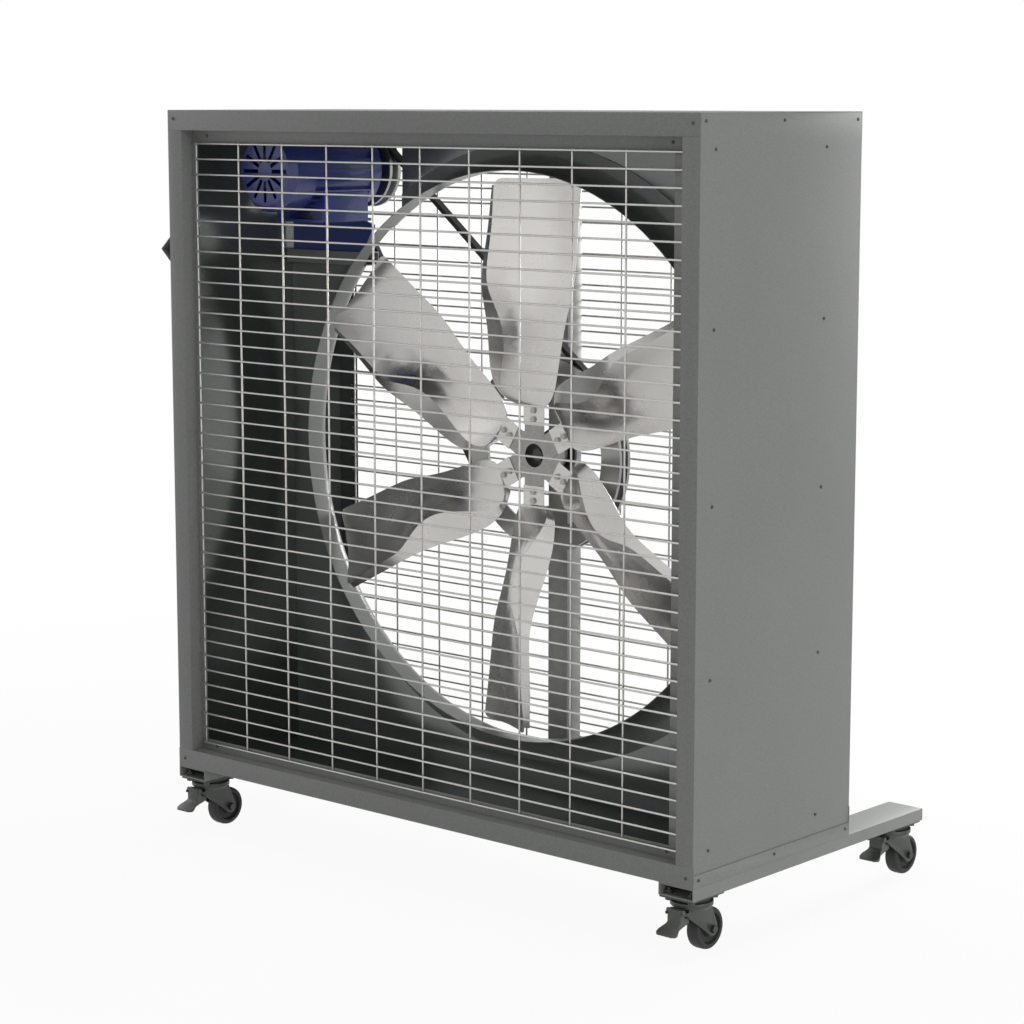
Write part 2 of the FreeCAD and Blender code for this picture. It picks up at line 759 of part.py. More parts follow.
def blade(label, angle):
    """One pressed blade: a flat tongue on the arm, a twisted body and a folded front edge."""
    body = new_body(label, z="axis_height")
    turn(body, Y_AXIS, 90 - angle)
    place(body, z="axis_height")
    half = "tongue_width / 2"
    tongue = block("-" + half, half, "blade_start", "tongue_end")
    flat = outline(body, "XZ_Plane", tongue, offset="-(hub_at - blade_gauge)")
    pad(body, flat, "blade_gauge", back=True)
    low = "-blade_gauge / 2"
    high = "blade_gauge / 2"
    rows = []
    for radius, chord, pitch, skew, forward, camber, fold in STATIONS:
        sketch = blade_station(body, radius, pitch, skew, forward)
        end = "(" + chord + ") / 2"
        quarter = "(" + chord + ") / 4"
        top = "(" + camber + ")"
        bow = "0.75 * " + top
        out = "-" + end + " - 0.6 * (" + fold + ")"
        back = low + " + 0.8 * (" + fold + ")"
        add_outline(sketch, [
            ("-" + end, low), ("-" + quarter, low + " + " + bow), ("0", low + " + " + top),
            (quarter, low + " + " + bow), (end, low), (end, high), (quarter, high + " + " + bow),
            ("0", high + " + " + top), ("-" + quarter, high + " + " + bow),
            ("-" + end + " + blade_gauge / 2", high),
            (out + " + 0.8 * blade_gauge", back + " + 0.6 * blade_gauge"), (out, back)])
        rows.append(sketch)
    document.recompute()
    loft(body, rows)
    corners = outline(body, "XZ_Plane", tip_corner("-", "+"), tip_corner("+", "-"))
    pocket(body, corners, "2 * housing_depth", both=True)


def blade_bolts():
    """Hex heads that hold each tongue on its arm."""
    heads = []
    for row in range(int(number("blade_count"))):
        for radius in ("bolt_inner", "bolt_outer"):
            head = member("Prism", Circumradius="bolt_head", Height="bolt_head_high")
            head.Polygon = 6
            turn(head, X_AXIS, 90)
            angle = "(%d * 360 / blade_count)" % row
            place(head, radius + " * sin(" + angle + ")", "hub_at - blade_gauge",
                  "axis_height + " + radius + " * cos(" + angle + ")")
            heads.append(head)
    group("blade_bolts", heads)


def motor_housing():
    """The finned motor body with its two cast feet."""
    body = new_body("motor_housing", "-motor_side", "0", "motor_height")
    long = "shield_at - cowl_end"
    core = discs(body, "XZ_Plane", ("0", "0", "motor_radius"), offset="-cowl_end")
    pad(body, core, long, back=True)
    reach = "motor_radius + motor_fin"
    fin = outline(body, "XZ_Plane", block("-fin_thick / 2", "fin_thick / 2", "motor_radius - 3", reach),
                  offset="-cowl_end")
    around(body, pad(body, fin, long, back=True), "Y_Axis", "fin_count")
    low = "base_top - motor_height"
    outer = "base_width / 2"
    inner = "base_width / 4"
    high = "-motor_radius * 0.6"
    right = block(inner, outer, low, high)
    left = block("-" + outer, "-" + inner, low, high)
    feet = outline(body, "XZ_Plane", right, left, offset="-(cowl_end + 30)")
    pad(body, feet, "shield_at - cowl_end - 40", back=True)


def motor_fan_cowl():
    """The thin domed cover over the motor's own cooling fan, with slots in its end."""
    body = new_body("motor_fan_cowl", "-motor_side", "0", "motor_height")
    out = "motor_radius + motor_fin"
    inner = "(motor_radius + motor_fin - 2)"
    section = [("0", "cowl_at"), (out + " - 14", "cowl_at"), (out, "cowl_at + 14"),
               (out, "cowl_end"), (inner, "cowl_end"), (inner, "cowl_at + 15"),
               (inner + " - 13", "cowl_at + 2"), ("0", "cowl_at + 2")]
    revolve(body, outline(body, "XY_Plane", section), "Y_Axis")
    slot = outline(body, "XZ_Plane", block("-4", "4", "20", "motor_radius - 12"), offset="-cowl_at")
    around(body, pocket(body, slot, "12", both=True), "Y_Axis", "fin_count / 2")


def motor_end_shield():
    """The drive-end casting with the boss the shaft leaves through."""
    body = new_body("motor_end_shield", "-motor_side", "0", "motor_height")
    bore = "shaft_radius + running_gap"
    step = "shield_end - 14"
    section = [(bore, "shield_at"), ("shield_radius", "shield_at"), ("shield_radius", step),
               ("shield_radius - 10", step + " + 6"), ("shield_boss + 8", step + " + 6"),
               ("shield_boss", "shield_end"), (bore, "shield_end")]
    revolve(body, outline(body, "XY_Plane", section), "Y_Axis")


def motor_shaft():
    """The motor shaft, from inside the housing to the end of its pulley."""
    body = new_body("motor_shaft", "-motor_side", "0", "motor_height")
    shaft = discs(body, "XZ_Plane", ("0", "0", "shaft_radius"), offset="-shield_at")
    pad(body, shaft, PULLEY_BACK + " + 4 - shield_at", back=True)


def motor_terminal_box():
    """The wiring box on the left of the motor, seated on its fins."""
    box = member("Box", Length="motor_fin + box_reach", Width="box_width", Height="box_width")
    place(box, "-motor_side - motor_radius - motor_fin - box_reach",
          "(cowl_end + shield_at - box_width) / 2", "motor_height - box_width / 2")
    core = member("Cylinder", Radius="motor_radius + motor_fin", Height="housing_depth")
    turn(core, X_AXIS, -90)
    place(core, "-motor_side", "0", "motor_height")
    cut = document.addObject("Part::Cut", "motor_terminal_box")
    cut.Base = box
    cut.Tool = core
    cut.Label = "motor_terminal_box"
    nodes.append(cut)


BEAM_LOW = "notch_floor"
BEAM_FRONT = "(panel_at + 2 * sheet_gauge - beam_deep / 2)"


def motor_beam():
    """The rectangular tube that rests on the notch and reaches to the left wall."""
    body = new_body("motor_beam")
    front = BEAM_FRONT
    rear = BEAM_FRONT + " + beam_deep"
    outer = block(front, rear, BEAM_LOW, "beam_top")
    inner = block(front + " + beam_gauge", rear + " - beam_gauge",
                  BEAM_LOW + " + beam_gauge", "beam_top - beam_gauge")
    tube = outline(body, "YZ_Plane", outer, inner, offset="-" + WALL_IN)
    pad(body, tube, WALL_IN + " - beam_end")


def motor_base():
    """The bent bracket under the motor: a wide upright plate with a centre lug, and a top plate."""
    body = new_body("motor_base", "-motor_side")
    half = "base_width / 2"
    lug = "lug_width / 2"
    left = "-(" + half + " + base_reach)"
    face = [(left, "beam_top"), (half + " - base_tuck", "beam_top"),
            (half + " + base_flare", "base_top - base_elbow - base_plate"),
            (half + " + base_flare", "base_top - base_elbow"), (lug, "base_top"), (lug, "lug_top"),
            ("-" + lug, "lug_top"), ("-" + lug, "base_top"), (left, "base_top")]
    pad(body, outline(body, "XZ_Plane", face, offset="-shield_at"), "base_plate", back=True)
    top = block("-" + half, half, "base_top - base_plate", "base_top")
    pad(body, outline(body, "XZ_Plane", top, offset="-base_at"), "shield_at - base_at", back=True)
    hole = discs(body, "XZ_Plane", ("0", "base_top + base_plate", "base_plate"), offset="-shield_at")
    pocket(body, hole, "4 * base_plate", both=True)


CORNERS = [("front_left", "-", "caster_inset"), ("front_right", "", "caster_inset"),
           ("rear_left", "-", "(rail_length - caster_inset)"),
           ("rear_right", "", "(rail_length - caster_inset)")]
SWIVEL_X = "(housing_width / 2 - caster_middle)"


def rail(label, sign):
    """One floor rail of rectangular tube with open ends."""
    body = new_body(label)
    out = HALF
    inner = "(housing_width / 2 - rail_width)"
    if sign == "-":
        left, right = "-" + out, "-" + inner
    else:
        left, right = inner, out
    outer = block(left, right, "-rail_high", "0")
    inner = block(left + " + rail_gauge", right + " - rail_gauge", "rail_gauge - rail_high", "-rail_gauge")
    pad(body, outline(body, "XZ_Plane", outer, inner), "rail_length", back=True)
    holes = []
    for depth in ("caster_inset", "rail_length - caster_inset"):
        for across in ("-", "+"):
            for along in ("-", "+"):
                holes.append((sign + SWIVEL_X + across + "caster_bolt_wide",
                              depth + along + "caster_bolt_long", "caster_bolt + running_gap"))
    drilled = discs(body, "XY_Plane", *holes, offset="rail_gauge / 2 - rail_high")
    pocket(body, drilled, "2 * rail_gauge", both=True)


def cable_cover():
    """The folded V strip on the left wall, open at both ends."""
    body = new_body("cable_cover")
    middle = "(cover_low + cover_high) / 2"
    wall = "-" + WALL_OUT
    tip = "-(housing_width / 2 + cover_reach)"
    section = [(wall, "cover_low"), (wall, "cover_low + 2 * sheet_gauge"),
               (tip + " + 1.5 * sheet_gauge", middle), (wall, "cover_high - 2 * sheet_gauge"),
               (wall, "cover_high"), (tip, middle)]
    pad(body, outline(body, "XZ_Plane", section, offset="-sheet_gauge"), "cover_length", back=True)


PLATE_LOW = "(-rail_high - plate_thick)"
BOLT_LONG = "plate_thick + rail_gauge + hex_thick + caster_bolt"
RACE_LOW = "(-rail_high - plate_thick - race_thick)"
CROWN_TOP = "(-rail_high - plate_thick - race_thick - swivel_gap)"
CROWN_LOW = "(-rail_high - plate_thick - race_thick - swivel_gap - crown_thick)"
AXLE_LOW = "(wheel_radius - rail_high - caster_high)"
LEG_IN = "(wheel_wide / 2 + fork_gap)"
LEG_OUT = "(wheel_wide / 2 + fork_gap + fork_thick)"


def caster_plates():
    """Four bolted top plates, each with its race and kingpin."""
    plates = []
    for corner, sign, depth in CORNERS:
        side = sign + SWIVEL_X
        flat = member("Box", Length="plate_wide", Width="plate_long", Height="plate_thick")
        place(flat, side + " - plate_wide / 2", depth + " - plate_long / 2", PLATE_LOW)
        race = member("Cylinder", Radius="race_radius", Height="race_thick")
        place(race, side, depth, RACE_LOW)
        pin = member("Cylinder", Radius="kingpin_radius", Height="race_thick + swivel_gap + crown_thick")
        place(pin, side, depth, CROWN_LOW)
        plate = document.addObject("Part::MultiFuse", "Plate")
        plate.Shapes = [flat, race, pin]
        drilled = document.addObject("Part::Cut", "Drilled")
        drilled.Base = plate
        holes = document.addObject("Part::Compound", "Holes")
        holes.Links = bolt_rods("caster_bolt + running_gap", "plate_thick", side, depth, PLATE_LOW)
        drilled.Tool = holes
        plates.append(drilled)
    group("caster_plates", plates)


def bolt_rods(radius, high, side, depth, low):
    """Return four rods on the bolt pattern of one caster plate."""
    rods = []
    for across in ("-", "+"):
        for along in ("-", "+"):
            rod = member("Cylinder", Radius=radius, Height=high)
            place(rod, side + across + "caster_bolt_wide", depth + along + "caster_bolt_long", low)
            rods.append(rod)
    return rods


def caster_bolts():
    """Bolts up through plate and rail wall, each with a hex head below and a nut in the rail."""
    bolts = []
    for corner, sign, depth in CORNERS:
        for rod in bolt_rods("caster_bolt", BOLT_LONG, sign + SWIVEL_X, depth, PLATE_LOW):
            pieces = [rod]
            for low in (PLATE_LOW + " - hex_thick", "rail_gauge - rail_high"):
                hexagon = member("Prism", Circumradius="hex_across / 2 / cos(30)", Height="hex_thick")
                hexagon.Polygon = 6
                for axis in "xy":
                    hexagon.setExpression("Placement.Base." + axis, rod.Name + ".Placement.Base." + axis)
                hexagon.setExpression("Placement.Base.z", bound(low + " + " + SHIFT[2]))
                pieces.append(hexagon)
            bolt = document.addObject("Part::MultiFuse", "Bolt")
            bolt.Shapes = pieces
            bolts.append(bolt)
    group("caster_bolts", bolts)


def caster_fork(corner, x, y):
    """The swivelling crown with two legs for the wheel and two ears for the pedal."""
    body = new_body("caster_fork_" + corner, x, y, "0")
    bore = "kingpin_radius + running_gap"
    top = CROWN_LOW + " + crown_thick"
    crown = [(bore, CROWN_LOW), ("crown_radius - crown_taper", CROWN_LOW),
             ("crown_radius", CROWN_LOW + " + crown_thick / 2"), ("crown_radius", top), (bore, top)]
    revolve(body, outline(body, "XZ_Plane", crown), "Z_Axis")
    lower = "wheel_trail + fork_end"
    drop = AXLE_LOW + " - fork_end"
    ear = "-(pedal_ahead + pedal_pivot + 3)"
    half = "fork_end / 2"
    shoulder = CROWN_LOW + " + crown_thick / 2"
    leg = [("-crown_radius * 0.8", CROWN_LOW), (ear, CROWN_LOW + " + 2"),
           (ear, "-pedal_drop - pedal_pivot - 3"), ("-pedal_ahead + 8", "-pedal_drop - pedal_pivot - 4"),
           ("wheel_trail - fork_end", AXLE_LOW + " - " + half), ("wheel_trail - " + half, drop),
           ("wheel_trail + " + half, drop), (lower, AXLE_LOW + " - " + half),
           (lower, AXLE_LOW + " + " + half), ("crown_radius * 0.9", CROWN_LOW),
           ("crown_radius * 0.8", shoulder), ("-crown_radius * 0.8", shoulder)]
    pad(body, outline(body, "YZ_Plane", leg, offset=LEG_IN), "fork_thick")
    pad(body, outline(body, "YZ_Plane", leg, offset="-" + LEG_OUT), "fork_thick")
    bores = discs(body, "YZ_Plane", ("wheel_trail", AXLE_LOW, "wheel_axle"),
                  ("-pedal_ahead", "-pedal_drop", "pedal_pivot + running_gap"))
    pocket(body, bores, "4 * " + LEG_OUT, both=True)


def caster_axle(corner, x, y):
    """The axle bolt: a shank through both legs, a hex head and a nut."""
    body = new_body("caster_axle_" + corner, x, y, "0")
    shank = discs(body, "YZ_Plane", ("wheel_trail", AXLE_LOW, "wheel_axle"))
    pad(body, shank, "2 * " + LEG_OUT, both=True)
    reach = " + hex_across / 2 / cos(30) * "
    hexagon = [("wheel_trail" + reach + "cos(%d)" % turn_by, AXLE_LOW + reach + "sin(%d)" % turn_by)
               for turn_by in range(0, 360, 60)]
    pad(body, outline(body, "YZ_Plane", hexagon, offset=LEG_OUT), "hex_thick")
    pad(body, outline(body, "YZ_Plane", hexagon, offset="-" + LEG_OUT + " - hex_thick"), "hex_thick")


def caster_wheel(corner, x, y):
    """The moulded wheel with a rounded tread and a recessed disc."""
    body = new_body("caster_wheel_" + corner, x, y + " + wheel_trail", AXLE_LOW)
    bore = "wheel_axle + running_gap"
    half = "wheel_wide / 2"
    web = "wheel_wide / 4"
    section = [("-" + half, bore), (half, bore), (half, "wheel_radius * 0.35"), (web, "wheel_radius * 0.42"),
               (web, "wheel_radius * 0.68"), (half, "wheel_radius * 0.75"), (half, "wheel_radius - 4"),
               (half + " - 3", "wheel_radius - 0.8"), (half + " - 8", "wheel_radius"),
               ("8 - " + half, "wheel_radius"), ("3 - " + half, "wheel_radius - 0.8"),
               ("-" + half, "wheel_radius - 4"), ("-" + half, "wheel_radius * 0.75"),
               ("-" + web, "wheel_radius * 0.68"),
               ("-" + web, "wheel_radius * 0.42"), ("-" + half, "wheel_radius * 0.35")]
    revolve(body, outline(body, "XZ_Plane", section), "X_Axis")


def brake_pedal(corner, x, y):
    """The foot pedal: a pivot pin in the ears, a neck, and a ramp that widens to the tread."""
    body = new_body("brake_pedal_" + corner, x, y + " - pedal_ahead", "-pedal_drop")
    pivot = discs(body, "YZ_Plane", ("0", "0", "pedal_pivot"))
    pad(body, pivot, "2 * " + LEG_OUT, both=True)
    under = "-pedal_fall - pedal_thick / 2"
    front = "-pedal_reach"
    tip = [("8 - pedal_reach", under), (front, under), (front, "-pedal_fall"),
           ("9 - pedal_reach", "4 - pedal_fall"), ("-12", "-25")]
    ramp = [("-5", "4"), ("6", "4"), ("8", "-14"), ("20", "-10"), ("20", "-24"), ("-2", "-30")]
    ramp += tip + [("-5", "-20")]
    pad(body, outline(body, "YZ_Plane", ramp), "2 * " + LEG_IN + " - 2", both=True)
    neck = "-(pedal_pivot + 5)"
    tread = [(neck, "-23"), (neck, "-32.5")] + tip
    pad(body, outline(body, "YZ_Plane", tread), "pedal_wide", both=True)
    half = "pedal_wide / 2"
    sides = []
    for sign in ("-", ""):
        outer = sign + "(" + half + " + 1)"
        edge = sign + half
        inner = sign + "(" + LEG_IN + " - 1)"
        sides.append([(inner, neck), (edge, "12 - pedal_reach"), (outer, "12 - pedal_reach"), (outer, neck)])
        sides.append([(edge, "5 - pedal_reach"), (sign + "(" + half + " - 5)", front), (outer, front),
                      (outer, "5 - pedal_reach")])
    pocket(body, outline(body, "XY_Plane", *sides), "4 * pedal_fall", both=True)


def screw_heads():
    """Small pan heads on the side walls and the front corners."""
    heads = []

    def screw(x, y, z, axis, angle):
        head = member("Prism", Circumradius="screw_radius", Height="screw_high")
        head.Polygon = 8
        turn(head, axis, angle)
        place(head, x, y, z)
        heads.append(head)

    field = ["housing_height / 2 + screw_pitch * (%d)" % row for row in range(-2, 3)]
    for sign, angle in (("-", -90), ("", 90)):
        wall = sign + WALL_OUT
        lap = sign + HALF
        for depth in ("screw_column", "panel_at + panel_flange / 2"):
            for height in field:
                screw(wall, depth, height, Y_AXIS, angle)
        for depth in ("screw_edge", "housing_depth / 2", "housing_depth - screw_edge"):
            screw(wall, depth, "housing_height - screw_edge", Y_AXIS, angle)
            screw(lap, depth, "screw_edge", Y_AXIS, angle)
        edge = sign + "(housing_width / 2 - corner_screw)"
        screw(edge, "0", "corner_screw", X_AXIS, 90)
        screw(edge, "0", "housing_height - corner_screw", X_AXIS, 90)
        held = sign + "(housing_width / 2 - lip_screw)"
        screw(held, "recess_depth", "flange_bottom + lip_screw_edge", X_AXIS, 90)
        screw(held, "recess_depth", TOP_EDGE + " - lip_screw_edge", X_AXIS, 90)
    group("housing_screws", heads)


bottom_panel()
top_panel()
side_panel("left_side_panel", "-", "lip_left")
side_panel("right_side_panel", "", "lip_right")
grille("front_grille", "recess_depth - wire_thick / 2", " - wire_thick", "grille_wide", "grille_tall")
grille("rear_grille", "housing_depth - sheet_gauge - 1.5 * wire_thick", " + wire_thick",
       "opening_wide - 2 * wire_end_gap", "opening_tall - 2 * wire_end_gap")
venturi_panel()
bell_mouth()
support_post()
fan_axle()
hub_spider()
hub_barrel()
hub_bearings()
driven_pulley()
motor_pulley()
v_belt()
for number_of_blade in range(int(number("blade_count"))):
    blade("blade_%d" % (number_of_blade + 1), 90 - number_of_blade * 360 / number("blade_count"))
blade_bolts()
motor_housing()
motor_fan_cowl()
motor_end_shield()
motor_shaft()
motor_terminal_box()
motor_beam()
motor_base()
rail("left_rail", "-")
rail("right_rail", "")
cable_cover()
caster_plates()
caster_bolts()
for corner_name, corner_sign, corner_depth in CORNERS:
    for build in (caster_fork, caster_axle, caster_wheel, brake_pedal):
        build(corner_name, corner_sign + SWIVEL_X, corner_depth)
screw_heads()
document.recompute()

os.makedirs("parts", exist_ok=True)
for item in document.Objects:
    if "Invalid" in item.State or "Error" in item.State:
        raise RuntimeError(item.Label + " did not recompute")
for node in nodes:
    if node.Shape.isNull() or not node.Shape.isValid():
        raise RuntimeError(node.Label + " has no valid shape")
    node.Shape.exportStep("parts/" + node.Label + ".step")
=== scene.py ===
"""Looks of a portable belt-drive fan: finishes, round-wire grilles, smoothed sheet work, stage and camera."""
import json
import logging
import math
from dataclasses import dataclass
from enum import Enum

import bmesh
import bpy
from mathutils import Matrix, Vector


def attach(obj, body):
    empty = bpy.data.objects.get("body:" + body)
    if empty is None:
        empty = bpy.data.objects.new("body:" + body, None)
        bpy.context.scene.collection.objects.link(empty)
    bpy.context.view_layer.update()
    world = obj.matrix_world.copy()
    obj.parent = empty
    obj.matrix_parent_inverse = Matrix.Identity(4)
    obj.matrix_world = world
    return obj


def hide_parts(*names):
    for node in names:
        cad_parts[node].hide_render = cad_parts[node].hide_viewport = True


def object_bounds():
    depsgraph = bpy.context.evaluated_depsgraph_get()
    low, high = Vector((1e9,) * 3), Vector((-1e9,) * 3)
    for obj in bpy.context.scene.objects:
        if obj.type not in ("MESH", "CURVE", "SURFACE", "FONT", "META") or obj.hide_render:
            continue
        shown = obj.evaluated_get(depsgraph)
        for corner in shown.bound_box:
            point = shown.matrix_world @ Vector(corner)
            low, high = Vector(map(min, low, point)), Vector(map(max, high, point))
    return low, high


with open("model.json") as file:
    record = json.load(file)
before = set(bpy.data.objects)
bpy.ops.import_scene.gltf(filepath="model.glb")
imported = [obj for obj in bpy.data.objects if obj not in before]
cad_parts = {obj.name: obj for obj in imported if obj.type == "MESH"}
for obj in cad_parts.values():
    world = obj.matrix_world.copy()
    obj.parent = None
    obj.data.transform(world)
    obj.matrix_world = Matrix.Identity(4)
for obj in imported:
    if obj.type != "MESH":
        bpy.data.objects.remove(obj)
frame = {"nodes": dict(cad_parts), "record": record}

CAD_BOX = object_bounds()
MM = 0.001
# Points of a CAD mesh closer than this are one point, in metres.
MERGE_M = 1e-6
# The housing's front lower edge, in the middle of its width, stands here in the shared frame.
HOUSING_PLACE = Vector((0.014, -0.374, 0.138))
NODE_BODY = {
    node: body
    for body, members in frame["record"]["behaviour"]["bodies"].items()
    for node in members
}
# Most of a noise lies between these two values.
NOISE_LOW, NOISE_HIGH = 0.25, 0.75
# Sockets of a Mix node by number, because their names repeat for each kind of data.
MIX_SHARE = 0
MIX_FLOAT_A, MIX_FLOAT_B, MIX_FLOAT = 2, 3, 0
MIX_COLOUR_A, MIX_COLOUR_B, MIX_COLOUR = 6, 7, 2
Colour = tuple[float, float, float, float] | bpy.types.NodeSocket
log = logging.getLogger("fan")


class Corner(Enum):
    """The four casters, by the corner of the rails they stand under."""

    FRONT_LEFT = "front_left"
    FRONT_RIGHT = "front_right"
    REAR_LEFT = "rear_left"
    REAR_RIGHT = "rear_right"


class Slot(Enum):
    """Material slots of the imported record."""

    SHEET = "sheet_paint"
    VENTURI = "venturi_paint"
    WIRE = "wire"
    BLADE = "blade_sheet"
    HUB = "hub_metal"
    STEEL = "bright_steel"
    BELT = "belt_rubber"
    MOTOR = "motor_paint"
    CASTER = "caster_steel"
    WHEEL = "wheel_plastic"
    PEDAL = "pedal_plastic"


def linear(hex_code: str) -> tuple[float, float, float, float]:
    """Turn an sRGB hex colour into the linear colour a shader takes.

    Args:
        hex_code: Six hex digits, with or without a leading hash.

    Returns:
        Red, green, blue and an alpha of one, linear.
    """
    digits = hex_code.lstrip("#")
    channels = [int(digits[i:i + 2], 16) / 255 for i in (0, 2, 4)]
    bent = [c / 12.92 if c <= 0.04045 else ((c + 0.055) / 1.055) ** 2.4 for c in channels]
    return bent[0], bent[1], bent[2], 1.0


def feed(tree: bpy.types.NodeTree, socket: bpy.types.NodeSocket, value: object) -> None:
    """Link a socket to an input, or set the input to a plain value.

    Args:
        tree: The node tree.
        socket: The input.
        value: A socket, a number or a colour.
    """
    if isinstance(value, bpy.types.NodeSocket):
        tree.links.new(value, socket)
    else:
        socket.default_value = value


def add_node(
    tree: bpy.types.NodeTree, kind: str, feeds: dict | None = None, **settings: object
) -> bpy.types.Node:
    """Add one node to a tree, with its settings and what feeds it.

    Args:
        tree: The node tree.
        kind: Blender's class name of the node.
        feeds: For an input's name or number, a value or the socket to link.
        settings: Attributes to set on the node.

    Returns:
        The new node.
    """
    node = tree.nodes.new(kind)
    for name, value in settings.items():
        setattr(node, name, value)
    for socket, value in (feeds or {}).items():
        feed(tree, node.inputs[socket], value)
    return node


@dataclass(frozen=True)
class Finish:
    """A finish with a grain in its tone, its gloss and its relief.

    The grain is noise of grain_mm across, and drift is a slow change of tone over drift_mm. Shares and
    changes go either way from the middle tone or gloss, and relief is the strength of the grain's bumps.
    """

    name: str
    slot: Slot
    colour: str
    roughness: float
    metallic: float = 0.0
    grain_mm: float = 3.0
    grain_tone: float = 0.06
    drift_mm: float = 180.0
    drift_tone: float = 0.05
    gloss_change: float = 0.08
    relief_mm: float = 0.05
    relief: float = 0.15
    coat: float = 0.0
    grain_detail: float = 3.0
    grain_roughness: float = 0.6
    drift_detail: float = 2.0

    def material(self) -> bpy.types.Material:
        """Give this finish's material, made on first use.

        Returns:
            The material.
        """
        found = bpy.data.materials.get(self.name)
        if found:
            return found
        made = bpy.data.materials.new(self.name)
        made.use_nodes = True
        tree = made.node_tree
        shader = tree.nodes["Principled BSDF"]
        place = add_node(tree, "ShaderNodeTexCoord").outputs["Object"]
        grain = self.grain(tree, place)
        drift = add_node(
            tree, "ShaderNodeTexNoise",
            {"Vector": place, "Scale": 1 / (self.drift_mm * MM), "Detail": self.drift_detail},
        ).outputs["Fac"]
        tone = self.toned(tree, self.ground(tree, place), grain, self.grain_tone)
        tone = self.toned(tree, tone, drift, self.drift_tone)
        bump = add_node(
            tree, "ShaderNodeBump",
            {"Height": grain, "Strength": self.relief, "Distance": self.relief_mm * MM},
        ).outputs["Normal"]
        feed(tree, shader.inputs["Base Color"], tone)
        feed(tree, shader.inputs["Roughness"], self.gloss(tree, place, grain))
        feed(tree, shader.inputs["Metallic"], self.metal(tree, place))
        feed(tree, shader.inputs["Normal"], bump)
        feed(tree, shader.inputs["Coat Weight"], self.coat)
        return made

    def ground(self, tree: bpy.types.NodeTree, place: bpy.types.NodeSocket) -> Colour:
        """Return the colour before its grain, here the same all over.

        Args:
            tree: The material's node tree.
            place: Object coordinates.

        Returns:
            A plain colour or a colour socket.
        """
        return linear(self.colour)

    def metal(self, tree: bpy.types.NodeTree, place: bpy.types.NodeSocket) -> float | bpy.types.NodeSocket:
        """Return how metallic the finish is, here the same all over.

        Args:
            tree: The material's node tree.
            place: Object coordinates.

        Returns:
            A number or a value socket.
        """
        return self.metallic

    def gloss(
        self, tree: bpy.types.NodeTree, place: bpy.types.NodeSocket, grain: bpy.types.NodeSocket
    ) -> bpy.types.NodeSocket:
        """Return the roughness, changed a little by the grain.

        Args:
            tree: The material's node tree.
            place: Object coordinates.
            grain: The fine pattern of the finish.

        Returns:
            A value socket.
        """
        return add_node(
            tree, "ShaderNodeMapRange",
            {
                "Value": grain,
                "To Min": self.roughness - self.gloss_change,
                "To Max": self.roughness + self.gloss_change,
            },
        ).outputs["Result"]

    def grain(self, tree: bpy.types.NodeTree, place: bpy.types.NodeSocket) -> bpy.types.NodeSocket:
        """Return the fine pattern of the finish, from 0 to 1.

        Args:
            tree: The material's node tree.
            place: Object coordinates.

        Returns:
            A value socket.
        """
        return add_node(
            tree, "ShaderNodeTexNoise",
            {
                "Vector": place, "Scale": 1 / (self.grain_mm * MM),
                "Detail": self.grain_detail, "Roughness": self.grain_roughness,
            },
        ).outputs["Fac"]

    def toned(
        self, tree: bpy.types.NodeTree, colour: Colour,
        pattern: bpy.types.NodeSocket, share: float,
    ) -> bpy.types.NodeSocket:
        """Lighten and darken a colour by a pattern.

        Args:
            tree: The material's node tree.
            colour: The colour to change.
            pattern: The pattern, from 0 to 1.
            share: How far the tone goes either way.

        Returns:
            The changed colour.
        """
        level = add_node(
            tree, "ShaderNodeMapRange",
            {
                "Value": pattern, "From Min": NOISE_LOW, "From Max": NOISE_HIGH,
                "To Min": 1 - share, "To Max": 1 + share,
            },
        ).outputs["Result"]
        return add_node(
            tree, "ShaderNodeMix", {MIX_SHARE: 1.0, MIX_COLOUR_A: colour, MIX_COLOUR_B: level},
            data_type="RGBA", blend_type="MULTIPLY",
        ).outputs[MIX_COLOUR]


